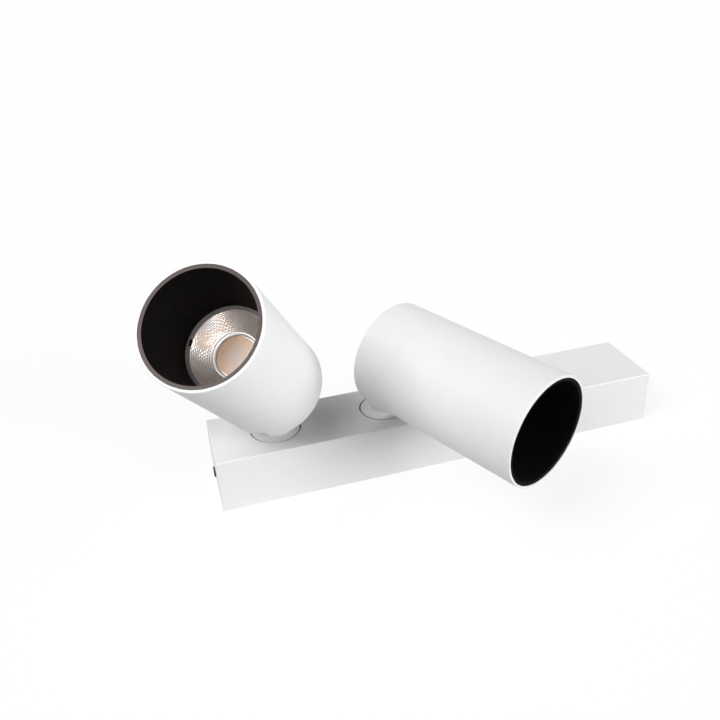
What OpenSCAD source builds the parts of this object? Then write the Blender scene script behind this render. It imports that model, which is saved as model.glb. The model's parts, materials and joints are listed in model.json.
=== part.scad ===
/* [Base] */
// Length of the base housing
base_l = 270; // [262:1:320]
// Width of the base housing
base_w = 46.6; // [44:0.2:56]
// Height of the base housing above the mounting surface
base_h = 32.7; // [31:0.1:44]
// Wall thickness of the housing
base_wall = 1.5; // [1:0.1:2]
// Thickness of the mounting plate
plate_t = 1.5; // [1:0.1:2.5]
// Height of the plate's folded side lips
plate_lip_h = 6; // [4:0.5:9]
// Distance from the end of the base to the middle of a ceiling screw slot
mount_end_in = 15; // [13:0.5:17]
// Width of a ceiling screw slot
mount_slot_w = 4.5; // [4:0.1:6]
// End to end length of a ceiling screw slot
mount_slot_l = 10; // [8:0.5:12]
// Height of the end screws above the mounting surface
end_screw_z = 11.5; // [9:0.5:14]

/* [Swivels] */
// Distance from the left end to the first pan axis
first_swivel_in = 37.7; // [34:0.1:42]
// Distance between the two pan axes
swivel_spacing = 66; // [64:0.5:72]
// Radius of the round hole in the housing that a swivel disc fills
swivel_hole_r = 14.8; // [13.5:0.1:15.5]
// Dark gap round the swivel disc
swivel_gap = 0.8; // [0.4:0.1:1.2]
// Thickness of the swivel disc
disc_t = 4.5; // [4:0.1:5.5]
// Thickness of the bearing seat under the disc
seat_t = 7; // [6:0.1:8]
// Radius of the hollow threaded shank
shank_r = 5; // [4.5:0.1:5.4]
// Radius of the wire way through the shank
wire_way_r = 2.6; // [2:0.1:3]
// Half of the angle that a head can pan through
pan_half = 90; // [60:5:90]
// Distance of the tilt pivot in front of the pan axis
pivot_fwd = 14.8; // [13.5:0.1:16]
// Height of the tilt pivot above the housing
pivot_up = 24.5; // [24:0.1:28]
// Thickness of the swivel arm
arm_t = 8; // [7:0.1:9]
// Radius of the eye at the end of the arm
eye_r = 6; // [5:0.1:6.2]
// Radius of the tilt pin
pin_r = 2.5; // [2:0.1:3]

/* [Heads] */
// Outer radius of a lamp head
head_r = 30.1; // [28:0.1:31]
// Length of a lamp head
head_l = 105.3; // [100:0.5:106]
// Wall thickness of the head tube
tube_t = 1.3; // [1:0.1:1.6]
// Distance of the tilt pivot ahead of the rear face
pivot_in = 6.6; // [6.2:0.1:8]
// Depth of the tilt pivot below the head's surface
pivot_deep = 15.5; // [14.6:0.1:17.1]
// Depth of the baffle behind the front edge
baffle_depth = 40.2; // [30:0.1:42]
// Width of the baffle's front rim inside the head tube
baffle_rim = 1.9; // [1.8:0.1:2.8]
// How much smaller the baffle's radius is at its inner end
baffle_taper = 3.8; // [2.9:0.1:4.9]
// Width of the grey ring seen between the baffle and the reflector
ring_ledge = 1.85; // [1.4:0.05:3]
// Depth of the reflector bowl
reflector_h = 8; // [6:0.1:9]
// Radius of the bright ring round the light source
ring_mouth_r = 12.3; // [11.8:0.1:13]
// Radius of the light source
source_r = 10.4; // [9:0.1:10.8]
// Width of the dark groove round the light source
source_groove = 0.5; // [0.2:0.1:0.8]
// Thickness of the heat sink's front plate
sink_plate_t = 6; // [4:0.5:8]
// Number of cooling fins round the heat sink
fin_count = 24; // [12:1:30]
// Thickness of a cooling fin
fin_t = 1.3; // [1:0.1:1.6]
// Thickness of the rear cap
cap_t = 2; // [1.6:0.1:2.4]

/* [Pose] */
// Pan angle of the left head at rest, from the base's length
left_pan = -118.6; // [-180:0.1:-90]
// Tilt of the left head at rest, from straight out
left_tilt = 46; // [0:0.1:94]
// Pan angle of the right head at rest, from the base's length
right_pan = -63.4; // [-90:0.1:0]
// Tilt of the right head at rest, from straight out
right_tilt = 93.2; // [0:0.1:94]

/* [Hidden] */
$fn = 96;

// Overrun of every cut past the face that it opens
over = 1;
// Depth to which a joined piece is sunk into its neighbour
root = 0.5;
// Radial clearance of a turning or seated round piece
run_fit = 0.05;
// Clearance between pieces that slide together on assembly
slip = 0.3;

// Inner sizes of the housing
inner_l = base_l - 2 * base_wall;
inner_w = base_w - 2 * base_wall;
base_edge = 0.5;
mount_spacing = base_l - 2 * mount_end_in;
roof_z = base_h - base_wall;
left_x = -base_l / 2 + first_swivel_in;
right_x = left_x + swivel_spacing;

// Bearing seat: a block across the housing, hung from four studs
seat_l = 44;
seat_w = inner_w - 2 * run_fit;
seat_z = roof_z - seat_t;
stud_r = 1.5;
stud_drop = 3;
stud_edge = 3;
stud_x = seat_l / 2 - stud_edge;
stud_y = seat_w / 2 - stud_edge;
nut_m3_r = 3.1;
nut_m3_t = 2.2;
disc_r = swivel_hole_r - swivel_gap;
disc_z = base_h - disc_t;
// Thin collar of the seat that lines the housing's hole to just below its face
collar_t = 0.35;
collar_down = 0.25;

// Pan stop: a pin in the seat, at the back of the disc and opposite the middle of its
// travel, that rides in an arc groove under the disc
stop_angle = 90;
groove_outward = 1.2;
stop_pin_r = 1.2;
stop_pin_up = 1.8;
stop_pin_down = 4;
groove_deep = 2.1;
groove_side = 0.15;
groove_mid_r = (shank_r + disc_r) / 2 + groove_outward;

// Friction stack under the seat
washer_t = 1;
washer_r = 9;
wave_t = 0.8;
wave_rise = 0.5;
wave_r = 8.4;
nut_t = 5;
nut_flats = 16;
washer_top = seat_z - run_fit;
wave_top = washer_top - washer_t;
nut_top = wave_top - wave_rise - wave_t;
thread_past_nut = 1.2;
shank_end_z = nut_top - nut_t - thread_past_nut;

// Swivel arm
neck_foot_r = 10.2;
neck_r = 7.8;
neck_h = 4.6;
neck_top_round = 1.2;
foot_half = 6;
stem_half = 4.7;
rise_shares = [0.5, 0.3];
dowel_r = 1.2;
dowel_h = 2.2;
dowel_at_r = 7.4;

// Head seen in its own frame: origin on the axis at the rear face, front towards +Z,
// underside towards +X
tube_in_r = head_r - tube_t;
core_fit_r = tube_in_r - run_fit;
pivot_off = head_r - pivot_deep;
baffle_front_r = tube_in_r - baffle_rim;
baffle_rear_r = baffle_front_r - baffle_taper;
reflector_r = baffle_rear_r - ring_ledge;
edge_round = 0.4;
washer_gap_y = run_fit;
tilt_washer_t = 0.6;
tilt_washer_r = 5.4;
slot_half = arm_t / 2 + washer_gap_y + tilt_washer_t;
slot_side = 0.7;
slot_in_x = pivot_off - eye_r - slot_side;
slot_past_eye = 2.2;
slot_front_z = pivot_in + eye_r + slot_past_eye;
tube_slot_ahead = 2.6;
tube_slot_z = pivot_in + tube_slot_ahead;
tube_slot_round = 1;
cheek_t = 7;
cheek_past_pivot = 10.6;
cheek_in_x = pivot_off - cheek_past_pivot;
cheek_z = 25;
fin_core_r = 7;
fin_rim = 1.2;
fin_rear_gap = 3;
lamp_stack = 1.6;
source_z = head_l - baffle_depth - reflector_h - lamp_stack;
board_t = 1;
source_t = 0.6;
sink_z = source_z - source_t - board_t;
board_side = 24;
board_cover = 0.2;
holder_r = board_side / sqrt(2) + board_cover;
holder_cone_h = 1.1;
holder_top_z = source_z + holder_cone_h;
// The source holder's own floor, where its two screw heads sit
holder_floor_deep = 0.4;
holder_floor_z = source_z - holder_floor_deep;
holder_screw_in = 2.2;
holder_screw_at_r = holder_r - holder_screw_in;
holder_screw_at = [45, 225];
holder_screw_r = 1;
holder_screw_head_r = 1.7;
holder_screw_head_t = 0.9;
holder_screw_l = 5;
cage_past_baffle = 2.9;
cage_out_r = baffle_rear_r + cage_past_baffle;
cage_wall = 1.3;
cage_lip_t = 1.5;
cage_z = head_l - baffle_depth;
cage_notch_w = 3.6;
cage_notch_deep = 1.45;
cage_notch_at = [22, 142, 262];
reflector_t = 1.1;
flange_t = 1;
flange_r = cage_out_r - cage_wall - slip;
facet_rows = 11;
facet_cols = 56;
baffle_wall = 1.1;
baffle_collar_l = 5;
baffle_recess = 0.4;
pin_cheek_y = slot_half + cheek_t;
pin_head_r = 4.2;
pin_head_t = 2.4;
pin_nut_t = 3;
cap_screw_r = 1.25;
cap_screw_head_r = 2.5;
cap_screw_l = 8;
cap_boss_r = 3;
cap_screw_in = 7.75;
cap_screw_at_r = core_fit_r - cap_screw_in;
cap_screw_at = [120, 240];
vent_w = 2.2;
vent_in_r = 11;
vent_rim = 3.75;
vent_out_r = core_fit_r - vent_rim;
vent_step = 15;
vent_slot_half = 40;
vent_screw_half = 10;
grub_r = 1.5;
grub_z = sink_z - sink_plate_t / 2;
grub_l = 5;

// Mounting plate
plate_l = inner_l - 2 * slip;
plate_w = inner_w - 2 * slip;
tab_w = 20;
tab_up = 8;
tab_bore = 1.5;
inlet_x = (left_x + right_x) / 2;
inlet_r = 6.5;
grommet_bore_r = 4.2;
grommet_flange_r = 8.5;
grommet_flange_t = 1.2;
earth_past_inlet = 22;
earth_x = inlet_x + earth_past_inlet;
earth_y = 12;
earth_r = 2;

// Driver and terminal block fill the long end of the housing
slot_room = 11;
driver_gap = 2;
driver_end_x = mount_spacing / 2 - slot_room;
term_l = 15;
term_x = right_x + seat_l / 2 + driver_gap + term_l / 2;
driver_start_x = term_x + term_l / 2 + driver_gap;
driver_ear = 7;
driver_ear_t = 2;
driver_mid_x = (driver_start_x + driver_end_x) / 2;
driver_l = driver_end_x - driver_start_x;
driver_case_l = driver_l - 2 * driver_ear;
driver_w = plate_w - 2 * driver_gap - 2 * plate_t;
driver_h = roof_z - plate_t - 2 * driver_gap;
driver_wall = 1.4;
driver_corner = 3;
lid_t = 2;
lid_lip = 2;
wire_port_r = 3;
term_w = 28;
term_h = 13;
term_poles = 3;
term_pitch = 8;
term_well_r = 2.3;
term_well_deep = 5;
term_wire_r = 1.8;
term_wire_z = 4;

function arc(cx, cy, r, a0, a1, n = 12) =
    [for (i = [0:n]) let (a = a0 + (a1 - a0) * i / n) [cx + r * cos(a), cy + r * sin(a)]];

function bezier(p, t) = pow(1 - t, 3) * p[0] + 3 * t * pow(1 - t, 2) * p[1]
    + 3 * t * t * (1 - t) * p[2] + pow(t, 3) * p[3];

function slope(p, t) = 3 * pow(1 - t, 2) * (p[1] - p[0]) + 6 * t * (1 - t) * (p[2] - p[1])
    + 3 * t * t * (p[3] - p[2]);

module pipe(r, hole_r, h) {
    difference() {
        cylinder(r = r, h = h);
        translate([0, 0, -over]) cylinder(r = hole_r, h = h + 2 * over);
    }
}

module rounded_rect(size_x, size_y, r) {
    polygon(concat(
        arc(size_x / 2 - r, size_y / 2 - r, r, 0, 90),
        arc(-size_x / 2 + r, size_y / 2 - r, r, 90, 180),
        arc(-size_x / 2 + r, -size_y / 2 + r, r, 180, 270),
        arc(size_x / 2 - r, -size_y / 2 + r, r, 270, 360)));
}

// Places what belongs to a swivel: its own frame has the pan axis on Z, forward on +X
module on_swivel(side) {
    translate([side == "left" ? left_x : right_x, 0, 0])
        rotate([0, 0, side == "left" ? left_pan : right_pan])
            children();
}

module on_head(side) {
    on_swivel(side)
        translate([pivot_fwd, 0, base_h + pivot_up])
            rotate([0, side == "left" ? left_tilt : right_tilt, 0])
                translate([-pivot_off, 0, -pivot_in])
                    children();
}

module seat_corners() {
    for (sx = [-1, 1], sy = [-1, 1])
        translate([sx * stud_x, sy * stud_y, 0]) children();
}

module both_seats() {
    for (x = [left_x, right_x]) translate([x, 0, 0]) children();
}

// Block on z = 0 with rounded upper and upright edges
module soft_block(l, w, h, r) {
    intersection() {
        linear_extrude(height = h) rounded_rect(l, w, r);
        translate([0, w / 2, 0]) rotate([90, 0, 0]) linear_extrude(height = w) upright(l, h, r);
        translate([-l / 2, 0, 0]) rotate([90, 0, 90]) linear_extrude(height = l) upright(w, h, r);
    }
}

module upright(l, h, r) {
    polygon(concat([[-l / 2, 0], [l / 2, 0]],
        arc(l / 2 - r, h - r, r, 0, 90, 4),
        arc(-l / 2 + r, h - r, r, 90, 180, 4)));
}

module base_housing() {
    color("white") {
        difference() {
            soft_block(base_l, base_w, base_h, base_edge);
            translate([-inner_l / 2, -inner_w / 2, -over]) cube([inner_l, inner_w, roof_z + over]);
            both_seats() translate([0, 0, roof_z - over])
                cylinder(r = swivel_hole_r, h = base_wall + 2 * over);
            for (s = [-1, 1]) translate([s * base_l / 2, 0, end_screw_z]) rotate([0, 90, 0])
                cylinder(r = tab_bore + run_fit, h = 4 * base_wall, center = true);
        }
        both_seats() seat_corners() translate([0, 0, seat_z - stud_drop])
            cylinder(r = stud_r, h = seat_t + stud_drop);
    }
}

module mounting_plate() {
    slot_straight = mount_slot_l - mount_slot_w;
    color("silver") difference() {
        union() {
            translate([-plate_l / 2, -plate_w / 2, 0]) cube([plate_l, plate_w, plate_t]);
            for (s = [-1, 1]) {
                translate([-plate_l / 2, s * (plate_w - plate_t) / 2 - plate_t / 2, 0])
                    cube([plate_l, plate_t, plate_lip_h]);
                translate([s * (plate_l - plate_t) / 2 - plate_t / 2, -tab_w / 2, 0])
                    cube([plate_t, tab_w, end_screw_z + tab_up]);
            }
        }
        for (s = [-1, 1]) {
            translate([s * mount_spacing / 2, 0, 0]) {
                for (e = [-1, 1]) translate([e * slot_straight / 2, 0, -over])
                    cylinder(d = mount_slot_w, h = plate_t + 2 * over);
                translate([-slot_straight / 2, -mount_slot_w / 2, -over])
                    cube([slot_straight, mount_slot_w, plate_t + 2 * over]);
            }
            translate([s * (plate_l - plate_t) / 2, 0, end_screw_z]) rotate([0, 90, 0])
                cylinder(r = tab_bore + run_fit, h = 2 * plate_t, center = true);
            translate([driver_mid_x + s * (driver_l - driver_ear) / 2, 0, -over])
                cylinder(r = stud_r + run_fit, h = plate_t + 2 * over);
        }
        translate([inlet_x, 0, -over]) cylinder(r = inlet_r, h = plate_t + 2 * over);
        translate([earth_x, earth_y, -over]) cylinder(r = earth_r + run_fit, h = plate_t + 2 * over);
    }
}

module pan_head_screw(r, l, head_r, head_t) {
    rotate_extrude() polygon(concat(
        [[0, -l], [r * 0.8, -l], [r, -l + r * 0.4], [r, 0], [head_r, 0], [head_r, head_t * 0.5]],
        arc(head_r - head_t * 0.5, head_t * 0.5, head_t * 0.5, 0, 90, 6),
        [[0, head_t]]));
}

module cross_slot(r, deep) {
    for (a = [0, 90]) rotate([0, 0, a])
        translate([-r, -r * 0.18, -deep]) cube([2 * r, r * 0.36, deep + over]);
}

module end_screws() {
    screw_l = 8;
    head_r = 3.1;
    head_t = 1;
    slot_w = 1.2;
    slot_deep = 0.8;
    color("dimgray") for (s = [-1, 1])
        translate([s * base_l / 2, 0, end_screw_z]) rotate([0, s * 90, 0]) difference() {
            pan_head_screw(tab_bore, screw_l, head_r, head_t);
            translate([-slot_w / 2, -head_r - over, head_t - slot_deep])
                cube([slot_w, 2 * (head_r + over), slot_deep + over]);
        }
}

module cable_grommet() {
    color("dimgray") translate([inlet_x, 0, 0]) difference() {
        union() {
            cylinder(r = inlet_r - run_fit, h = plate_t + run_fit);
            translate([0, 0, plate_t + run_fit]) cylinder(r = grommet_flange_r, h = grommet_flange_t);
        }
        translate([0, 0, -over])
            cylinder(r = grommet_bore_r, h = plate_t + grommet_flange_t + 3 * over);
    }
}

module earth_screw() {
    head_t = 2.2;
    clamp_t = 1;
    clamp_r = earth_r * 2.2;
    color("goldenrod") translate([earth_x, earth_y, plate_t]) {
        cylinder(r = clamp_r, h = clamp_t);
        translate([0, 0, clamp_t]) difference() {
            pan_head_screw(earth_r, clamp_t + plate_t, earth_r * 1.9, head_t);
            translate([0, 0, head_t]) cross_slot(earth_r, head_t * 0.5);
        }
    }
}

module driver_outline(extra) {
    rounded_rect(driver_case_l + 2 * extra, driver_w + 2 * extra, driver_corner + extra);
}

module driver_case() {
    tray_h = driver_h - lid_t;
    color("whitesmoke") translate([driver_mid_x, 0, plate_t]) difference() {
        union() {
            linear_extrude(height = tray_h) driver_outline(0);
            translate([-driver_l / 2, -driver_w / 2 + driver_corner, 0])
                cube([driver_l, driver_w - 2 * driver_corner, driver_ear_t]);
        }
        translate([0, 0, driver_wall]) linear_extrude(height = tray_h) driver_outline(-driver_wall);
        for (s = [-1, 1]) {
            translate([s * (driver_l - driver_ear) / 2, 0, -over])
                cylinder(r = stud_r + run_fit, h = driver_ear_t + 2 * over);
            for (y = [-1, 1]) translate([s * driver_case_l / 2, y * driver_w / 5, tray_h / 2])
                rotate([0, 90, 0]) cylinder(r = wire_port_r, h = 4 * driver_wall, center = true);
        }
    }
}

module driver_lid() {
    color("white") translate([driver_mid_x, 0, plate_t + driver_h - lid_t]) {
        linear_extrude(height = lid_t) driver_outline(0);
        translate([0, 0, -lid_lip]) linear_extrude(height = lid_lip) difference() {
            driver_outline(-driver_wall - run_fit);
            driver_outline(-2 * driver_wall - run_fit);
        }
    }
}

module driver_screws() {
    color("silver") for (s = [-1, 1])
        translate([driver_mid_x + s * (driver_l - driver_ear) / 2, 0, plate_t + driver_ear_t])
            difference() {
                pan_head_screw(stud_r, driver_ear_t + plate_t, stud_r * 1.8, stud_r);
                translate([0, 0, stud_r]) cross_slot(stud_r, stud_r * 0.5);
            }
}

module pole_places() {
    for (i = [0:term_poles - 1])
        translate([term_x, (i - (term_poles - 1) / 2) * term_pitch, 0]) children();
}

module terminal_block() {
    color("whitesmoke") difference() {
        translate([term_x - term_l / 2, -term_w / 2, plate_t]) cube([term_l, term_w, term_h]);
        pole_places() {
            translate([0, 0, plate_t + term_h - term_well_deep])
                cylinder(r = term_well_r, h = term_well_deep + over);
            translate([0, 0, plate_t + term_wire_z]) rotate([0, 90, 0])
                cylinder(r = term_wire_r, h = term_l + 2 * over, center = true);
        }
    }
}

module terminal_screws() {
    screw_t = 2.6;
    color("goldenrod") pole_places()
        translate([0, 0, plate_t + term_h - term_well_deep]) difference() {
            cylinder(r = term_well_r - run_fit, h = screw_t);
            translate([0, 0, screw_t]) cross_slot(term_well_r, screw_t * 0.4);
        }
}

module swivel_seat() {
    color("dimgray") translate([0, 0, seat_z]) difference() {
        union() {
            translate([-seat_l / 2, -seat_w / 2, 0]) cube([seat_l, seat_w, seat_t]);
            cylinder(r = swivel_hole_r - run_fit, h = base_h - collar_down - seat_z);
        }
        translate([0, 0, disc_z - seat_z]) cylinder(r = swivel_hole_r - collar_t, h = seat_t);
        translate([0, 0, -over]) cylinder(r = shank_r + run_fit, h = seat_t);
        seat_corners() translate([0, 0, -over]) cylinder(r = stud_r + run_fit, h = seat_t + 2 * over);
        rotate([0, 0, stop_angle]) translate([groove_mid_r, 0, disc_z - seat_z - stop_pin_down])
            cylinder(r = stop_pin_r + run_fit, h = stop_pin_down + over);
    }
}

module left_swivel_seat() { translate([left_x, 0, 0]) swivel_seat(); }
module right_swivel_seat() { translate([right_x, 0, 0]) swivel_seat(); }

module seat_nuts() {
    color("silver") both_seats() seat_corners() translate([0, 0, seat_z - nut_m3_t]) difference() {
        cylinder(r = nut_m3_r, h = nut_m3_t, $fn = 6);
        translate([0, 0, -over]) cylinder(r = stud_r + run_fit, h = nut_m3_t + 2 * over);
    }
}

module stop_pins() {
    color("silver") both_seats() rotate([0, 0, stop_angle])
        translate([groove_mid_r, 0, disc_z - stop_pin_down])
            cylinder(r = stop_pin_r, h = stop_pin_down + stop_pin_up);
}

// Middle of the pan travel of each head, from the base's length
function pan_mid(side) = side == "left" ? -180 : 0;

module swivel_disc(side) {
    groove_w = 2 * (stop_pin_r + groove_side);
    pin_half = asin((stop_pin_r + groove_side) / groove_mid_r);
    groove_mid = stop_angle - pan_mid(side);
    color("white") difference() {
        translate([0, 0, disc_z + run_fit]) cylinder(r = disc_r, h = disc_t - run_fit);
        translate([0, 0, disc_z - over]) cylinder(r = shank_r + run_fit, h = disc_t + 2 * over);
        translate([0, 0, disc_z - over]) rotate([0, 0, groove_mid - pan_half - pin_half])
            rotate_extrude(angle = 2 * (pan_half + pin_half))
                translate([groove_mid_r - groove_w / 2, 0]) square([groove_w, groove_deep + over]);
        for (s = [-1, 1]) translate([0, s * dowel_at_r, base_h - dowel_h - slip])
            cylinder(r = dowel_r + run_fit, h = dowel_h + slip + over);
    }
}

module arm_side() {
    route = [[0, base_h + neck_h - neck_top_round], [0, base_h + pivot_up * rise_shares[0]],
        [pivot_fwd, base_h + pivot_up * rise_shares[1]], [pivot_fwd, base_h + pivot_up]];
    steps = 20;
    left = [for (i = [0:steps]) let (t = i / steps, d = slope(route, t), n = [-d[1], d[0]] / norm(d))
        bezier(route, t) + n * (foot_half + (stem_half - foot_half) * min(1, 2 * t))];
    right = [for (i = [steps:-1:0]) let (t = i / steps, d = slope(route, t), n = [d[1], -d[0]] / norm(d))
        bezier(route, t) + n * (foot_half + (stem_half - foot_half) * min(1, 2 * t))];
    polygon(concat(left, right));
    translate([pivot_fwd, base_h + pivot_up]) circle(r = eye_r);
}

module swivel_arm() {
    color("white") difference() {
        union() {
            translate([0, 0, base_h]) rotate_extrude() polygon(concat(
                [[0, 0], [neck_foot_r, 0]],
                arc(neck_foot_r, neck_foot_r - neck_r, neck_foot_r - neck_r, 270, 180, 8),
                arc(neck_r - neck_top_round, neck_h - neck_top_round, neck_top_round, 0, 90, 6),
                [[0, neck_h]]));
            translate([0, 0, shank_end_z]) cylinder(r = shank_r, h = base_h - shank_end_z + over);
            translate([0, arm_t / 2, 0]) rotate([90, 0, 0]) linear_extrude(height = arm_t) arm_side();
            for (s = [-1, 1]) translate([0, s * dowel_at_r, base_h - dowel_h])
                cylinder(r = dowel_r, h = dowel_h + root);
        }
        translate([0, 0, shank_end_z - over])
            cylinder(r = wire_way_r, h = base_h + neck_h + pivot_up - shank_end_z);
        translate([pivot_fwd, 0, base_h + pivot_up]) rotate([90, 0, 0])
            cylinder(r = pin_r + run_fit, h = arm_t + 2 * over, center = true);
    }
}

module friction_washer() {
    color("ivory") translate([0, 0, wave_top]) pipe(washer_r, shank_r + run_fit, washer_t);
}

module wave_washer() {
    in_r = shank_r + run_fit;
    color("silver") rotate_extrude() polygon([
        [in_r, nut_top], [wave_r, nut_top + wave_rise], [wave_r, nut_top + wave_rise + wave_t],
        [in_r, nut_top + wave_t]]);
}

module swivel_nut() {
    color("silver") translate([0, 0, nut_top - nut_t]) difference() {
        cylinder(r = nut_flats / 2 / cos(30), h = nut_t, $fn = 6);
        translate([0, 0, -over]) cylinder(r = shank_r + run_fit, h = nut_t + 2 * over);
    }
}

module arm_slot() {
    translate([slot_in_x, -slot_half, -over]) cube([head_r, 2 * slot_half, slot_front_z + over]);
}

// The tube is open for the arm at its rear edge only, with rounded inner corners
module tube_slot() {
    polygon(concat([[-slot_half, -over], [slot_half, -over]],
        arc(slot_half - tube_slot_round, tube_slot_z - tube_slot_round, tube_slot_round, 0, 90, 4),
        arc(-slot_half + tube_slot_round, tube_slot_z - tube_slot_round, tube_slot_round, 90, 180, 4)));
}

module head_tube() {
    color("white") difference() {
        rotate_extrude() polygon(concat(
            [[tube_in_r, 0]],
            arc(head_r - edge_round, edge_round, edge_round, -90, 0, 4),
            arc(head_r - edge_round, head_l - edge_round, edge_round, 0, 90, 4),
            [[tube_in_r, head_l]]));
        translate([slot_in_x, 0, 0]) rotate([90, 0, 90]) linear_extrude(height = head_r) tube_slot();
        translate([tube_in_r - over, 0, grub_z]) rotate([0, 90, 0])
            cylinder(r = grub_r + run_fit, h = tube_t + 3 * over);
    }
}

// Section of the finned core: each fin starts inside the core, so that all is one outline
module fin_star() {
    circle(r = fin_core_r);
    for (i = [0:fin_count - 1]) rotate([0, 0, (i + 0.5) * 360 / fin_count])
        translate([fin_core_r / 2, -fin_t / 2]) square([core_fit_r - fin_rim - fin_core_r / 2, fin_t]);
}

module heat_sink() {
    rear_z = cap_t + fin_rear_gap;
    color("silver") difference() {
        union() {
            translate([0, 0, sink_z - sink_plate_t]) cylinder(r = core_fit_r, h = sink_plate_t);
            translate([0, 0, rear_z]) linear_extrude(height = sink_z - rear_z - over) fin_star();
            for (a = cap_screw_at) rotate([0, 0, a]) translate([cap_screw_at_r, 0, cap_t])
                cylinder(r = cap_boss_r, h = sink_z - cap_t - over);
            intersection() {
                translate([0, 0, cap_t + run_fit]) cylinder(r = core_fit_r - slip, h = cheek_z);
                for (s = [-1, 1])
                    translate([cheek_in_x, s > 0 ? slot_half : -pin_cheek_y, 0])
                        cube([head_r, cheek_t, cheek_z]);
            }
        }
        arm_slot();
        translate([pivot_off, 0, pivot_in]) rotate([90, 0, 0])
            cylinder(r = pin_r + run_fit, h = 2 * pin_cheek_y + 2 * over, center = true);
        for (s = [-1, 1]) translate([pivot_off, s * (pin_cheek_y + head_r / 2), pivot_in])
            rotate([90, 0, 0]) cylinder(r = pin_head_r + slip, h = head_r, center = true);
        for (a = cap_screw_at) rotate([0, 0, a]) translate([cap_screw_at_r, 0, cap_t - over])
            cylinder(r = cap_screw_r + run_fit, h = cap_screw_l + over);
        for (a = holder_screw_at) rotate([0, 0, a])
            translate([holder_screw_at_r, 0, sink_z - holder_screw_l])
                cylinder(r = holder_screw_r + run_fit, h = holder_screw_l + over);
        translate([core_fit_r - grub_l, 0, grub_z]) rotate([0, 90, 0])
            cylinder(r = grub_r + run_fit, h = grub_l + over);
    }
}

module rear_cap() {
    color("white") difference() {
        cylinder(r = core_fit_r, h = cap_t);
        arm_slot();
        for (i = [0:360 / vent_step - 1]) if (vent_clear(i * vent_step))
            rotate([0, 0, i * vent_step]) {
                translate([vent_in_r, -vent_w / 2, -over])
                    cube([vent_out_r - vent_in_r, vent_w, cap_t + 2 * over]);
                for (x = [vent_in_r, vent_out_r]) translate([x, 0, -over])
                    cylinder(d = vent_w, h = cap_t + 2 * over);
            }
        for (a = cap_screw_at) rotate([0, 0, a]) translate([cap_screw_at_r, 0, 0]) {
            translate([0, 0, -over]) cylinder(r = cap_screw_r + run_fit, h = cap_t + 2 * over);
            translate([0, 0, -run_fit])
                cylinder(r1 = cap_screw_head_r + 2 * run_fit, r2 = cap_screw_r, h = cap_t * 0.8);
        }
    }
}

// Vents keep clear of the arm slot at angle zero and of the cap screws
function vent_clear(a) = min(a, 360 - a) > vent_slot_half
    && min([for (s = cap_screw_at) abs(a - s)]) > vent_screw_half;

module head_screws() {
    color("gainsboro") {
        for (a = cap_screw_at) rotate([0, 0, a]) translate([cap_screw_at_r, 0, 0]) difference() {
            rotate_extrude() polygon([[0, 0], [cap_screw_head_r, 0],
                [cap_screw_r, cap_t * 0.8 - run_fit], [cap_screw_r, cap_screw_l], [0, cap_screw_l]]);
            mirror([0, 0, 1]) cross_slot(cap_screw_head_r * 0.6, cap_t * 0.4);
        }
        translate([tube_in_r - grub_l, 0, grub_z]) rotate([0, 90, 0]) difference() {
            cylinder(r = grub_r, h = grub_l);
            translate([0, 0, grub_l - over]) cylinder(r = grub_r * 0.5, h = 2 * over, $fn = 6);
        }
        for (a = holder_screw_at) rotate([0, 0, a]) translate([holder_screw_at_r, 0, holder_floor_z]) {
            cylinder(r = holder_screw_head_r, h = holder_screw_head_t);
            translate([0, 0, sink_z - holder_screw_l - holder_floor_z])
                cylinder(r = holder_screw_r, h = holder_floor_z - sink_z + holder_screw_l);
        }
    }
}

module tilt_pin() {
    color("silver") translate([pivot_off, 0, pivot_in]) rotate([90, 0, 0]) {
        translate([0, 0, -pin_cheek_y - pin_nut_t]) cylinder(r = pin_r, h = 2 * pin_cheek_y + pin_nut_t);
        translate([0, 0, pin_cheek_y]) difference() {
            cylinder(r = pin_head_r, h = pin_head_t);
            translate([0, 0, pin_head_t * 0.4]) cylinder(r = pin_r * 0.6, h = pin_head_t, $fn = 6);
        }
        translate([0, 0, -pin_cheek_y - pin_nut_t]) cylinder(r = pin_head_r, h = pin_nut_t, $fn = 6);
    }
}

module tilt_washers() {
    color("ivory") for (s = [-1, 1])
        translate([pivot_off, s * (slot_half - tilt_washer_t / 2), pivot_in]) rotate([90, 0, 0])
            difference() {
                cylinder(r = tilt_washer_r, h = tilt_washer_t, center = true);
                cylinder(r = pin_r + run_fit, h = tilt_washer_t + 2 * over, center = true);
            }
}

module led_board() {
    color("lightgray") difference() {
        translate([-board_side / 2, -board_side / 2, sink_z]) cube([board_side, board_side, board_t]);
        for (a = holder_screw_at) rotate([0, 0, a]) translate([holder_screw_at_r, 0, sink_z - over])
            cylinder(r = holder_screw_r + run_fit, h = board_t + 2 * over);
    }
}

module led_source() {
    color("tan") translate([0, 0, sink_z + board_t]) cylinder(r = source_r, h = source_t);
}

module source_holder() {
    color("white") difference() {
        translate([0, 0, sink_z]) cylinder(r = holder_r, h = holder_top_z - sink_z);
        translate([-board_side / 2 - run_fit, -board_side / 2 - run_fit, sink_z - over])
            cube([board_side + 2 * run_fit, board_side + 2 * run_fit, board_t + over]);
        translate([0, 0, sink_z]) cylinder(r = source_r + source_groove, h = source_z - sink_z + over);
        translate([0, 0, source_z])
            cylinder(r1 = source_r + source_groove, r2 = ring_mouth_r, h = holder_cone_h);
        for (a = holder_screw_at) rotate([0, 0, a]) translate([holder_screw_at_r, 0, 0]) {
            translate([0, 0, sink_z - over])
                cylinder(r = holder_screw_r + run_fit, h = holder_top_z - sink_z + 2 * over);
            translate([0, 0, holder_floor_z])
                cylinder(r = holder_screw_head_r + run_fit, h = holder_top_z - holder_floor_z + over);
        }
    }
}

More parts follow.
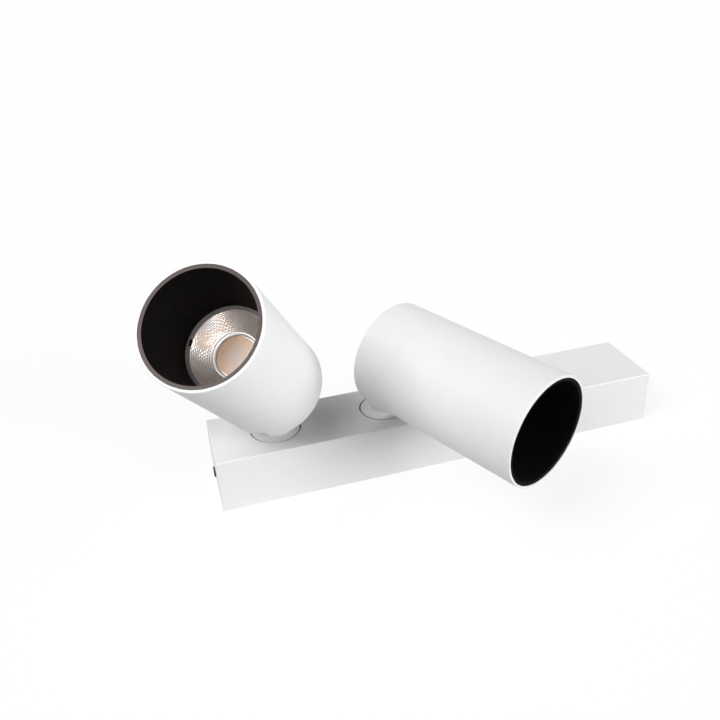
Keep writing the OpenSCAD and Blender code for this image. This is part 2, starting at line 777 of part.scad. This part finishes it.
// Reflector: a closed skin of rings, each turned half a facet from the last
function bowl_r(u) = sqrt(pow(ring_mouth_r, 2) + u * (pow(reflector_r, 2) - pow(ring_mouth_r, 2)));

function reflector_rings(low_z, top_z) = concat(
    [for (i = [0:facet_rows]) let (u = 1 - i / facet_rows) [bowl_r(u), low_z + u * (top_z - low_z)]],
    [[ring_mouth_r + reflector_t, low_z],
        [reflector_r + reflector_t, top_z - flange_t],
        [flange_r, top_z - flange_t],
        [flange_r, top_z]]);

module reflector() {
    low_z = holder_top_z;
    top_z = cage_z - cage_lip_t;
    rings = reflector_rings(low_z, top_z);
    n = len(rings);
    points = [for (i = [0:n - 1], j = [0:facet_cols - 1])
        let (a = (j + (i % 2) / 2) * 360 / facet_cols)
        [rings[i][0] * cos(a), rings[i][0] * sin(a), rings[i][1]]];
    faces = [for (i = [0:n - 1], j = [0:facet_cols - 1])
        let (k = (i + 1) % n, m = (j + 1) % facet_cols,
            a = i * facet_cols + j, b = i * facet_cols + m,
            c = k * facet_cols + j, d = k * facet_cols + m)
        each (i % 2 == 0 ? [[a, c, b], [b, c, d]] : [[a, d, b], [a, c, d]])];
    color("gainsboro") polyhedron(points = points, faces = faces, convexity = 6);
}

module reflector_cage() {
    color("gray") difference() {
        union() {
            translate([0, 0, sink_z]) pipe(cage_out_r, cage_out_r - cage_wall, cage_z - sink_z);
            translate([0, 0, cage_z - cage_lip_t]) pipe(cage_out_r - run_fit, reflector_r, cage_lip_t);
        }
        for (a = cage_notch_at) rotate([0, 0, a])
            translate([reflector_r - over, -cage_notch_w / 2, cage_z - cage_lip_t - over])
                cube([cage_notch_deep + over, cage_notch_w, cage_lip_t + 2 * over]);
    }
}

module baffle() {
    top_z = head_l - baffle_recess;
    color([0.12, 0.11, 0.11]) rotate_extrude() polygon([
        [baffle_rear_r, cage_z], [baffle_rear_r + baffle_wall, cage_z],
        [baffle_front_r + baffle_wall, top_z - baffle_collar_l],
        [core_fit_r, top_z - baffle_collar_l], [core_fit_r, top_z], [baffle_front_r, top_z]]);
}

module left_swivel_disc() { on_swivel("left") swivel_disc("left"); }
module left_swivel_arm() { on_swivel("left") swivel_arm(); }
module left_friction_washer() { on_swivel("left") friction_washer(); }
module left_wave_washer() { on_swivel("left") wave_washer(); }
module left_swivel_nut() { on_swivel("left") swivel_nut(); }
module right_swivel_disc() { on_swivel("right") swivel_disc("right"); }
module right_swivel_arm() { on_swivel("right") swivel_arm(); }
module right_friction_washer() { on_swivel("right") friction_washer(); }
module right_wave_washer() { on_swivel("right") wave_washer(); }
module right_swivel_nut() { on_swivel("right") swivel_nut(); }
module left_head_tube() { on_head("left") head_tube(); }
module left_heat_sink() { on_head("left") heat_sink(); }
module left_rear_cap() { on_head("left") rear_cap(); }
module left_head_screws() { on_head("left") head_screws(); }
module left_tilt_pin() { on_head("left") tilt_pin(); }
module left_tilt_washers() { on_head("left") tilt_washers(); }
module left_led_board() { on_head("left") led_board(); }
module left_led_source() { on_head("left") led_source(); }
module left_source_holder() { on_head("left") source_holder(); }
module left_reflector() { on_head("left") reflector(); }
module left_reflector_cage() { on_head("left") reflector_cage(); }
module left_baffle() { on_head("left") baffle(); }
module right_head_tube() { on_head("right") head_tube(); }
module right_heat_sink() { on_head("right") heat_sink(); }
module right_rear_cap() { on_head("right") rear_cap(); }
module right_head_screws() { on_head("right") head_screws(); }
module right_tilt_pin() { on_head("right") tilt_pin(); }
module right_tilt_washers() { on_head("right") tilt_washers(); }
module right_led_board() { on_head("right") led_board(); }
module right_led_source() { on_head("right") led_source(); }
module right_source_holder() { on_head("right") source_holder(); }
module right_reflector() { on_head("right") reflector(); }
module right_reflector_cage() { on_head("right") reflector_cage(); }
module right_baffle() { on_head("right") baffle(); }

base_housing();
mounting_plate();
end_screws();
cable_grommet();
earth_screw();
driver_case();
driver_lid();
driver_screws();
terminal_block();
terminal_screws();
left_swivel_seat();
right_swivel_seat();
seat_nuts();
stop_pins();
left_swivel_disc();
left_swivel_arm();
left_friction_washer();
left_wave_washer();
left_swivel_nut();
right_swivel_disc();
right_swivel_arm();
right_friction_washer();
right_wave_washer();
right_swivel_nut();
left_head_tube();
left_heat_sink();
left_rear_cap();
left_head_screws();
left_tilt_pin();
left_tilt_washers();
left_led_board();
left_led_source();
left_source_holder();
left_reflector();
left_reflector_cage();
left_baffle();
right_head_tube();
right_heat_sink();
right_rear_cap();
right_head_screws();
right_tilt_pin();
right_tilt_washers();
right_led_board();
right_led_source();
right_source_holder();
right_reflector();
right_reflector_cage();
right_baffle();
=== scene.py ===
import json
import math

import bpy
from mathutils import Matrix, Vector


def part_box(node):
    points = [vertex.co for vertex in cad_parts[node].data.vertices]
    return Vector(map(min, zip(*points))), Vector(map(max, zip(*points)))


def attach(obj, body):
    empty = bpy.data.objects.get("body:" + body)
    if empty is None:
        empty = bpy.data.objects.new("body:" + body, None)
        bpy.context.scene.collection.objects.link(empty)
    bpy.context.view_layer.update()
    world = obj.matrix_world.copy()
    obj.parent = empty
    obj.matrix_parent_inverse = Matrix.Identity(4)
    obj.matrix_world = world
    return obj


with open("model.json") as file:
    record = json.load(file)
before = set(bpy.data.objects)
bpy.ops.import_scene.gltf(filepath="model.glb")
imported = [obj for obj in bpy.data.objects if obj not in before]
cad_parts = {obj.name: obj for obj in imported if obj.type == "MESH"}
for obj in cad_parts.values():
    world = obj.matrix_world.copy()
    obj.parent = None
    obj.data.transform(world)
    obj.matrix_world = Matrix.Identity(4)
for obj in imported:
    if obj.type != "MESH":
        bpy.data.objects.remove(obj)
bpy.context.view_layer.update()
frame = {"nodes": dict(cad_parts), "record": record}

MM = 0.001
nodes = frame["nodes"]

# Camera, from the fit of the base's edges and both heads' rims to the photograph
CAMERA_PLACE = Vector((-146.1, -380.2, 282.4)) * MM
CAMERA_LOOK = Vector((0.22666, 0.84754, -0.47989))
CAMERA_ROLL = math.radians(-3.21)
LENS = 39.12
SENSOR = 36.0
CLIP_NEAR = 0.01
CLIP_FAR = 100

# Light: each lamp's turn is from straight ahead, and all angles are in degrees
SKY_LEVEL = 0.07
PURE_WHITE = (1, 1, 1, 1)
LAMP_SOFTNESS = 30
LAMPS = {
    "key": dict(level=1.92, turn=-70, height=45),
    "top": dict(level=0.57, turn=-90, height=72),
    "front": dict(level=1.93, turn=35, height=15),
    "side": dict(level=0.65, turn=70, height=15),
}

# Narrow lamps into the left mouth: they lean from the head's axis by a share of the way to the
# camera, and from there turn round the axis
SNOOTS = {
    "snoot": dict(level=4.5, lean=0.58, turn=0),
    "bowl_snoot_top": dict(level=1.9, lean=1.4, turn=42),
    "bowl_snoot_low": dict(level=2.1, lean=1.4, turn=-42),
}
# Their distance from the mouth, the beam's half width there, the lamp's radius and the soft share
# of the beam
SNOOT_AWAY = 0.6
SNOOT_BEAM = 22 * MM
SNOOT_SOFT = 10 * MM
SNOOT_BLEND = 0.15

# Floor: its grey for the light that it throws back, and for what is seen directly a grey that
# takes the shadow plus a white of its own
FLOOR_SIZE = 12.0
FLOOR_GREY = 0.5
FLOOR_SEEN_LIT = 0.2
FLOOR_SEEN_WHITE = 0.82

# Reflector facets, as many as the solid bowl has
FACET_ROWS = 11
FACET_COLS = 56
FACET_STEPS = 4
FACET_LIFT = 0.05 * MM
FACET_RISE = 0.1 * MM
FACET_TILT = 0.06 * MM

# Thin skins on the solids: their lift off the surface and the steps round a turned piece
SKIN_LIFT = 0.04 * MM
TURN_STEPS = 96
# Name of the value that each point of a turned skin carries: its share of the skin's radius
REACH = "reach"

# Rounded lip of the source holder: how far it reaches into the holder's hole and below the
# source's face, and its steps
LIP_OVERHANG = 0.15 * MM
LIP_STEPS = 8

# Face of the light source: its rings as shares of its radius, and the power of its dome's curve
SOURCE_RINGS = (0.01, 0.3, 0.6, 0.85, 0.94, 0.98, 1)
SOURCE_DOME = 4
# Its colours in the middle and at the edge, how much the grain and the reach add to the value
# that mixes them, and the values at which the change starts and ends
SOURCE_MIDDLE = (0.68, 0.56, 0.51)
SOURCE_EDGE = (1.0, 0.62, 0.39)
SOURCE_GRAIN = 0.9
SOURCE_REACH = 0.35
SOURCE_ENDS = (0.4, 0.85)
SOURCE_ROUGHNESS = 0.3
SOURCE_GRAIN_SIZE = 0.8 * MM
SOURCE_GRAIN_DEPTH = 0.03 * MM

# Noise: its plain and its finer detail, and the part of its range in which the tone changes
DETAIL = 2.0
FINE_DETAIL = 3.0
TONE_ENDS = (0.35, 0.65)
# How many times the grain's size a patch of tone has, and by what share the grain changes the
# roughness
PATCH = 14
GLOSS_SPREAD = 0.15
# Specular level of a finish that names none
PLAIN_SPECULAR = 0.5

# Finish of each material slot, with the spread of its tone, and the size and depth of its grain
FINISHES = {
    "white_paint": dict(name="white_powder_coat", colour=(0.86, 0.86, 0.86), spread=0.008,
                        roughness=0.48, specular=0.4, grain=0.9 * MM, depth=0.025 * MM),
    "zinc_plate": dict(name="zinc_plate", colour=(0.6, 0.61, 0.62), spread=0.12,
                       roughness=0.38, metallic=1, grain=1.5 * MM, depth=0.01 * MM),
    # The end screws' steel is near-black partly as painted shade, standing in for the dark of the
    # hole round each screw head
    "dark_screw": dict(name="dark_steel_with_painted_shade", colour=(0.05, 0.05, 0.052), spread=0.1,
                       roughness=0.4, metallic=0.6, grain=0.5 * MM, depth=0.01 * MM),
    "steel_screw": dict(name="plated_steel", colour=(0.62, 0.62, 0.63), spread=0.06,
                        roughness=0.28, metallic=1, grain=0.5 * MM, depth=0.01 * MM),
    "black_rubber": dict(name="black_rubber", colour=(0.02, 0.02, 0.02), spread=0.2,
                         roughness=0.7, grain=0.4 * MM, depth=0.03 * MM),
    "brass": dict(name="brass", colour=(0.68, 0.5, 0.2), spread=0.08,
                  roughness=0.3, metallic=1, grain=0.5 * MM, depth=0.01 * MM),
    "driver_plastic": dict(name="driver_plastic", colour=(0.76, 0.76, 0.75), spread=0.03,
                           roughness=0.5, grain=0.5 * MM, depth=0.03 * MM),
    "terminal_plastic": dict(name="terminal_plastic", colour=(0.7, 0.7, 0.67), spread=0.04,
                             roughness=0.4, grain=0.5 * MM, depth=0.01 * MM),
    # The swivel seat is dark plastic, made near-black and dull so that the gap round each swivel
    # disc shows as painted shade
    "seat_plastic": dict(name="seat_plastic", colour=(0.01, 0.01, 0.01), spread=0.2,
                         roughness=0.6, specular=0.15, grain=0.4 * MM, depth=0.03 * MM),
    "nylon": dict(name="nylon", colour=(0.72, 0.68, 0.58), spread=0.04,
                  roughness=0.4, grain=0.6 * MM, depth=0.01 * MM),
    "sink_aluminium": dict(name="blasted_aluminium", colour=(0.6, 0.61, 0.62), spread=0.08,
                           roughness=0.5, metallic=1, grain=0.35 * MM, depth=0.03 * MM),
    "board_aluminium": dict(name="board_aluminium", colour=(0.7, 0.7, 0.7), spread=0.05,
                            roughness=0.35, metallic=1, grain=0.5 * MM, depth=0.01 * MM),
    "holder_plastic": dict(name="holder_plastic", colour=(0.86, 0.85, 0.84), spread=0.02,
                           roughness=0.25, grain=0.6 * MM, depth=0.01 * MM),
    "mirror_coat": dict(name="faceted_mirror", colour=(0.85, 0.82, 0.8), spread=0.04,
                        roughness=0.16, metallic=1, grain=0.6 * MM, depth=0.01 * MM),
    "grey_plastic": dict(name="grey_ring", colour=(0.2, 0.187, 0.182), spread=0.1,
                         roughness=0.3, grain=0.8 * MM, depth=0.02 * MM),
    "black_baffle": dict(name="black_baffle", colour=(0.004, 0.0035, 0.0035), spread=0.15,
                         roughness=0.6, specular=0.04, grain=0.5 * MM, depth=0.02 * MM),
}

# Vacuum metal coat on the bowl's facets, slightly rough and warm in places
FACET_COAT = dict(name="facet_coat", low=(0.84, 0.68, 0.58), high=(0.88, 0.83, 0.82),
                  gloss=(0.2, 0.24), metallic=0.6, patch=6 * MM, grain=0.5 * MM, depth=0.01 * MM)
# Satin black coat of the baffle's rim: a warm sheen straight on, dark from the side
RIM_COAT = dict(name="baffle_rim", low=(0.021, 0.0175, 0.0165), high=(0.025, 0.0205, 0.0195),
                gloss=(0.22, 0.3), metallic=1, tint=0.45, grain=0.4 * MM, depth=0.004 * MM)
# White enamel on the source holder's lip, with a metal flake in it
LIP_COAT = dict(name="source_lip", low=(0.9, 0.88, 0.86), high=(0.95, 0.94, 0.93),
                gloss=(0.42, 0.5), metallic=0.6, grain=0.4 * MM, depth=0.004 * MM)


def new_material(name):
    material = bpy.data.materials.new(name)
    material.use_nodes = True
    tree = material.node_tree
    return material, tree, tree.nodes["Principled BSDF"]


def noise(tree, size, detail=DETAIL):
    """Noise whose lumps are about size metres across, in the object's own frame."""
    place = tree.nodes.new("ShaderNodeTexCoord")
    texture = tree.nodes.new("ShaderNodeTexNoise")
    texture.inputs["Scale"].default_value = 1.0 / size
    texture.inputs["Detail"].default_value = detail
    tree.links.new(place.outputs["Object"], texture.inputs["Vector"])
    return texture.outputs["Fac"]


def bump(tree, shader, height, depth):
    node = tree.nodes.new("ShaderNodeBump")
    node.inputs["Distance"].default_value = depth
    tree.links.new(height, node.inputs["Height"])
    tree.links.new(node.outputs["Normal"], shader.inputs["Normal"])


def vary_colour(tree, shader, source, low, high, ends=TONE_ENDS):
    """Base colour from low to high while the source goes from the first end to the second."""
    ramp = tree.nodes.new("ShaderNodeValToRGB")
    for stop, place, colour in zip(ramp.color_ramp.elements, ends, (low, high)):
        stop.position = place
        stop.color = colour + (1,)
    tree.links.new(source, ramp.inputs["Fac"])
    tree.links.new(ramp.outputs["Color"], shader.inputs["Base Color"])


def vary_roughness(tree, shader, source, low, high):
    span = tree.nodes.new("ShaderNodeMapRange")
    span.inputs["To Min"].default_value = low
    span.inputs["To Max"].default_value = high
    tree.links.new(source, span.inputs["Value"])
    tree.links.new(span.outputs["Result"], shader.inputs["Roughness"])


def shade(colour, factor):
    return tuple(min(1.0, c * factor) for c in colour)


def finish(name, colour, spread, roughness, grain, depth, metallic=0, specular=PLAIN_SPECULAR):
    """A fine grain in the height, and slight changes of tone and gloss round one of each."""
    material, tree, shader = new_material(name)
    shader.inputs["Metallic"].default_value = metallic
    shader.inputs["Specular IOR Level"].default_value = specular
    fine = noise(tree, grain)
    patches = noise(tree, grain * PATCH, FINE_DETAIL)
    vary_colour(tree, shader, patches, shade(colour, 1 - spread), shade(colour, 1 + spread))
    low, high = roughness * (1 - GLOSS_SPREAD), roughness * (1 + GLOSS_SPREAD)
    vary_roughness(tree, shader, fine, low, high)
    bump(tree, shader, fine, depth)
    return material


def coat(name, low, high, gloss, metallic, grain, depth, tint=1, patch=None):
    """The same for a thin skin, with both ends of its tone and gloss given.

    The tone changes in patches of the given size, or else with the grain.
    """
    material, tree, shader = new_material(name)
    shader.inputs["Metallic"].default_value = metallic
    shader.inputs["Specular Tint"].default_value = (tint, tint, tint, 1)
    fine = noise(tree, grain)
    vary_colour(tree, shader, noise(tree, patch) if patch else fine, low, high)
    vary_roughness(tree, shader, fine, *gloss)
    bump(tree, shader, fine, depth)
    return material


def light_source():
    """Phosphor under clear silicone: peach at the edge, paler and greyer in the middle."""
    material, tree, shader = new_material("phosphor_disc")
    shader.inputs["Roughness"].default_value = SOURCE_ROUGHNESS
    grain = noise(tree, SOURCE_GRAIN_SIZE, FINE_DETAIL)
    reach = tree.nodes.new("ShaderNodeAttribute")
    reach.attribute_name = REACH
    span = tree.nodes.new("ShaderNodeMapRange")
    span.inputs["To Max"].default_value = SOURCE_REACH
    tree.links.new(reach.outputs["Fac"], span.inputs["Value"])
    mixed = tree.nodes.new("ShaderNodeMath")
    mixed.operation = "MULTIPLY_ADD"
    mixed.inputs[1].default_value = SOURCE_GRAIN
    tree.links.new(grain, mixed.inputs[0])
    tree.links.new(span.outputs["Result"], mixed.inputs[2])
    vary_colour(tree, shader, mixed.outputs["Value"], SOURCE_MIDDLE, SOURCE_EDGE, SOURCE_ENDS)
    bump(tree, shader, grain, SOURCE_GRAIN_DEPTH)
    return material


def dress_nodes(materials):
    slots = {s["node"]: s["material_slot"] for s in frame["record"]["subparts"]}
    for name, node in nodes.items():
        for place in node.material_slots:
            place.material = materials[slots[name]]


class HeadFrame:
    """A lamp head's own frame, read off the flat light source: origin on it, front towards +Z."""

    def __init__(self, side):
        mesh = nodes[side + "_led_source"].data
        front = max(mesh.polygons, key=lambda p: p.area).normal.copy()
        low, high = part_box(side + "_led_source")
        back_low, back_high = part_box(side + "_heat_sink")
        self.origin = (Vector(low) + Vector(high)) / 2
        if front.dot(self.origin - (Vector(back_low) + Vector(back_high)) / 2) < 0:
            front.negate()
        turn = front.to_track_quat("Z", "Y").to_matrix().to_4x4()
        self.matrix = Matrix.Translation(self.origin) @ turn

    def heights_and_radii(self, name):
        """Height along the head's axis and distance from it, for each corner of a node."""
        inverse = self.matrix.inverted()
        places = [inverse @ v.co for v in nodes[name].data.vertices]
        return [(place.z, math.hypot(place.x, place.y)) for place in places]


def add_piece(side, name, points, faces, material):
    """A smooth mesh on a head, from points in the head's frame."""
    matrix = HeadFrame(side).matrix
    mesh = bpy.data.meshes.new(side + name)
    mesh.from_pydata([matrix @ Vector(point) for point in points], [], faces)
    mesh.shade_smooth()
    mesh.materials.append(material)
    piece = bpy.data.objects.new(side + name, mesh)
    bpy.context.scene.collection.objects.link(piece)
    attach(piece, side + "_head")
    return mesh


def bowl_ring(rings, share):
    """Height and radius of the bowl at a share of its depth, as the solid bowl has them."""
    (low_z, low_r), (top_z, top_r) = rings
    radius = math.sqrt(low_r ** 2 + share * (top_r ** 2 - low_r ** 2))
    return low_z + share * (top_z - low_z), radius


def add_pillow(points, faces, rings, row, col):
    """One facet: highest in its middle, its lower edge lifted a little more than its upper one."""
    start = len(points)
    slope = math.atan2(rings[1][0] - rings[0][0], rings[1][1] - rings[0][1])
    for i in range(FACET_STEPS + 1):
        for j in range(FACET_STEPS + 1):
            s, t = 2 * i / FACET_STEPS - 1, 2 * j / FACET_STEPS - 1
            z, r = bowl_ring(rings, (row + (s + 1) / 2) / FACET_ROWS)
            angle = math.tau * (col + (row % 2) / 2 + t / 2) / FACET_COLS
            rise = FACET_LIFT + FACET_TILT * (1 - s) / 2 + FACET_RISE * (1 - s * s) * (1 - t * t)
            r, z = r - rise * math.sin(slope), z + rise * math.cos(slope)
            points.append((r * math.cos(angle), r * math.sin(angle), z))
    width = FACET_STEPS + 1
    for i in range(FACET_STEPS):
        for j in range(FACET_STEPS):
            a = start + i * width + j
            faces.append((a, a + width, a + width + 1, a + 1))


def facet_skin(side, material):
    """Small pillow facets in staggered rows, fitted over the solid bowl."""
    places = HeadFrame(side).heights_and_radii(side + "_reflector")
    low_z, top_z = min(z for z, r in places), max(z for z, r in places)
    low_r = min(r for z, r in places if z < low_z + FACET_LIFT)
    top_r = min(r for z, r in places if z > top_z - FACET_LIFT)
    rings = (low_z, low_r), (top_z, top_r)
    points, faces = [], []
    for row in range(FACET_ROWS):
        for col in range(FACET_COLS):
            add_pillow(points, faces, rings, row, col)
    add_piece(side, "_reflector_facets", points, faces, material)


def turned_skin(side, name, profile, material):
    """A thin piece turned about the head's axis, from (radius, height) pairs in its frame."""
    points, faces = [], []
    for radius, height in profile:
        for step in range(TURN_STEPS):
            angle = math.tau * step / TURN_STEPS
            points.append((radius * math.cos(angle), radius * math.sin(angle), height))
    for ring in range(len(profile) - 1):
        for step in range(TURN_STEPS):
            a, b = ring * TURN_STEPS + step, ring * TURN_STEPS + (step + 1) % TURN_STEPS
            faces.append((a, a + TURN_STEPS, b + TURN_STEPS, b))
    mesh = add_piece(side, name, points, faces, material)
    widest = max(radius for radius, height in profile)
    reach = mesh.attributes.new(REACH, "FLOAT", "POINT")
    reach.data.foreach_set("value", [math.hypot(x, y) / widest for x, y, z in points])


def rim_skin(side, material):
    """The baffle's front rim, smoother than its black inside and slightly rounded at its edges."""
    places = HeadFrame(side).heights_and_radii(side + "_baffle")
    front = max(z for z, r in places)
    radii = [r for z, r in places if z > front - SKIN_LIFT]
    low, high = min(radii), max(radii)
    top = front + SKIN_LIFT
    edge = 2 * SKIN_LIFT
    profile = [
        (low - SKIN_LIFT / 2, front - edge), (low, front), (low + edge / 2, top),
        (low + edge, top), (high - edge, top), (high - edge / 2, top), (high - SKIN_LIFT, front),
    ]
    turned_skin(side, "_baffle_rim", profile, material)


def notch_painted_shadow(side, material):
    """Painted shadow: a black ring on the reflector's flange, seen only through the grey ring's
    notches.
    """
    places = HeadFrame(side).heights_and_radii(side + "_reflector")
    top = max(z for z, r in places)
    low = min(r for z, r in places if z > top - SKIN_LIFT)
    high = max(r for z, r in places)
    profile = [(low + SKIN_LIFT, top + SKIN_LIFT), (high, top + SKIN_LIFT)]
    turned_skin(side, "_flange_painted_shadow", profile, material)


def source_skin(side, material):
    """Clear silicone face of the light source, slightly domed at its edge."""
    places = HeadFrame(side).heights_and_radii(side + "_led_source")
    top, radius = max(z for z, r in places) + SKIN_LIFT, max(r for z, r in places)
    profile = [(radius * share, top + SKIN_LIFT * (1 - share ** SOURCE_DOME))
               for share in SOURCE_RINGS]
    turned_skin(side, "_source_face", profile, material)


def lip_skin(side, material):
    """Rounded lip of the source holder, from its inner edge up to the reflector's lower edge."""
    head = HeadFrame(side)
    bowl = head.heights_and_radii(side + "_reflector")
    top, outer = min(z for z, r in bowl), min(r for z, r in bowl)
    low = max(z for z, r in head.heights_and_radii(side + "_led_source"))
    hole = min(r for z, r in head.heights_and_radii(side + "_source_holder"))
    inner = hole - LIP_OVERHANG
    profile = [(inner, low - LIP_OVERHANG)]
    for step in range(LIP_STEPS + 1):
        angle = math.pi / 2 * step / LIP_STEPS
        radius = outer - (outer - inner) * math.cos(angle)
        profile.append((radius, low + (top - low) * math.sin(angle)))
    turned_skin(side, "_source_lip", profile, material)


def make_camera():
    data = bpy.data.cameras.new("camera")
    data.lens = LENS
    data.sensor_width = SENSOR
    data.clip_start = CLIP_NEAR
    data.clip_end = CLIP_FAR
    camera = bpy.data.objects.new("camera", data)
    bpy.context.scene.collection.objects.link(camera)
    look = CAMERA_LOOK.normalized().to_track_quat("-Z", "Y")
    camera.rotation_mode = "QUATERNION"
    camera.rotation_quaternion = look @ Matrix.Rotation(CAMERA_ROLL, 3, "Z").to_quaternion()
    camera.location = CAMERA_PLACE
    bpy.context.scene.camera = camera


def make_lamp(name, level, turn, height):
    turn, height = math.radians(turn), math.radians(height)
    ahead = math.cos(height)
    source = Vector((math.sin(turn) * ahead, -math.cos(turn) * ahead, math.sin(height)))
    data = bpy.data.lights.new(name, "SUN")
    data.energy = level
    data.angle = math.radians(LAMP_SOFTNESS)
    lamp = bpy.data.objects.new(name, data)
    lamp.rotation_mode = "QUATERNION"
    lamp.rotation_quaternion = source.to_track_quat("Z", "Y")
    bpy.context.scene.collection.objects.link(lamp)


def make_snoot(name, level, lean, turn):
    """A narrow lamp from the camera's side into the left mouth; it turns with the head."""
    head = HeadFrame("left")
    tube = head.heights_and_radii("left_head_tube")
    mouth = head.matrix @ Vector((0, 0, max(z for z, r in tube)))
    axis = (mouth - head.origin).normalized()
    out = axis.lerp((CAMERA_PLACE - mouth).normalized(), lean).normalized()
    out = Matrix.Rotation(math.radians(turn), 3, axis) @ out
    data = bpy.data.lights.new(name, "SPOT")
    data.energy = level
    data.spot_size = 2 * math.atan2(SNOOT_BEAM, SNOOT_AWAY)
    data.spot_blend = SNOOT_BLEND
    data.shadow_soft_size = SNOOT_SOFT
    lamp = bpy.data.objects.new(name, data)
    towards = out.to_track_quat("Z", "Y").to_matrix().to_4x4()
    lamp.matrix_world = Matrix.Translation(mouth + SNOOT_AWAY * out) @ towards
    bpy.context.scene.collection.objects.link(lamp)
    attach(lamp, "left_head")


def seen_directly(tree):
    """1 where the camera, a mirror or glass looks straight at the surface, and 0 elsewhere."""
    path = tree.nodes.new("ShaderNodeLightPath")
    total = path.outputs["Is Camera Ray"]
    for extra in ("Is Glossy Ray", "Is Transmission Ray"):
        join = tree.nodes.new("ShaderNodeMath")
        join.operation = "MAXIMUM"
        tree.links.new(total, join.inputs[0])
        tree.links.new(path.outputs[extra], join.inputs[1])
        total = join.outputs["Value"]
    return total


def mix_by_sight(tree, unseen, seen, surface):
    """One shader for the light that a surface gives, and another where it is seen directly."""
    mix = tree.nodes.new("ShaderNodeMixShader")
    tree.links.new(seen_directly(tree), mix.inputs["Fac"])
    tree.links.new(unseen, mix.inputs[1])
    tree.links.new(seen, mix.inputs[2])
    tree.links.new(mix.outputs["Shader"], surface)


def make_world():
    """Plain sky for light, white where it is seen directly."""
    world = bpy.data.worlds.new("studio")
    bpy.context.scene.world = world
    world.use_nodes = True
    tree = world.node_tree
    sky = tree.nodes["Background"]
    sky.inputs["Color"].default_value = PURE_WHITE
    sky.inputs["Strength"].default_value = SKY_LEVEL
    plain = tree.nodes.new("ShaderNodeBackground")
    plain.inputs["Color"].default_value = PURE_WHITE
    plain.inputs["Strength"].default_value = 1.0
    surface = tree.nodes["World Output"].inputs["Surface"]
    mix_by_sight(tree, sky.outputs["Background"], plain.outputs["Background"], surface)


def diffuse(tree, grey):
    node = tree.nodes.new("ShaderNodeBsdfDiffuse")
    node.inputs["Color"].default_value = (grey, grey, grey, 1)
    return node.outputs["BSDF"]


def make_floor():
    bpy.ops.mesh.primitive_plane_add(size=FLOOR_SIZE, location=(0, 0, 0))
    floor = bpy.context.object
    floor.name = "floor"
    material, tree, shader = new_material("pale_floor")
    tree.nodes.remove(shader)
    white = tree.nodes.new("ShaderNodeEmission")
    white.inputs["Strength"].default_value = FLOOR_SEEN_WHITE
    seen = tree.nodes.new("ShaderNodeAddShader")
    tree.links.new(diffuse(tree, FLOOR_SEEN_LIT), seen.inputs[0])
    tree.links.new(white.outputs["Emission"], seen.inputs[1])
    surface = tree.nodes["Material Output"].inputs["Surface"]
    mix_by_sight(tree, diffuse(tree, FLOOR_GREY), seen.outputs["Shader"], surface)
    floor.data.materials.append(material)


bpy.context.scene.view_settings.view_transform = "Standard"
make_camera()
materials = {slot: finish(**values) for slot, values in FINISHES.items()}
materials["phosphor"] = light_source()
dress_nodes(materials)
make_world()
for name, values in LAMPS.items():
    make_lamp(name, **values)
for name, values in SNOOTS.items():
    make_snoot(name, **values)
facet_coat, rim_coat, lip_coat = coat(**FACET_COAT), coat(**RIM_COAT), coat(**LIP_COAT)
for side in ("left", "right"):
    facet_skin(side, facet_coat)
    rim_skin(side, rim_coat)
    # painted shadow behind the grey ring's notches
    notch_painted_shadow(side, materials["black_baffle"])
    source_skin(side, materials["phosphor"])
    lip_skin(side, lip_coat)
make_floor()
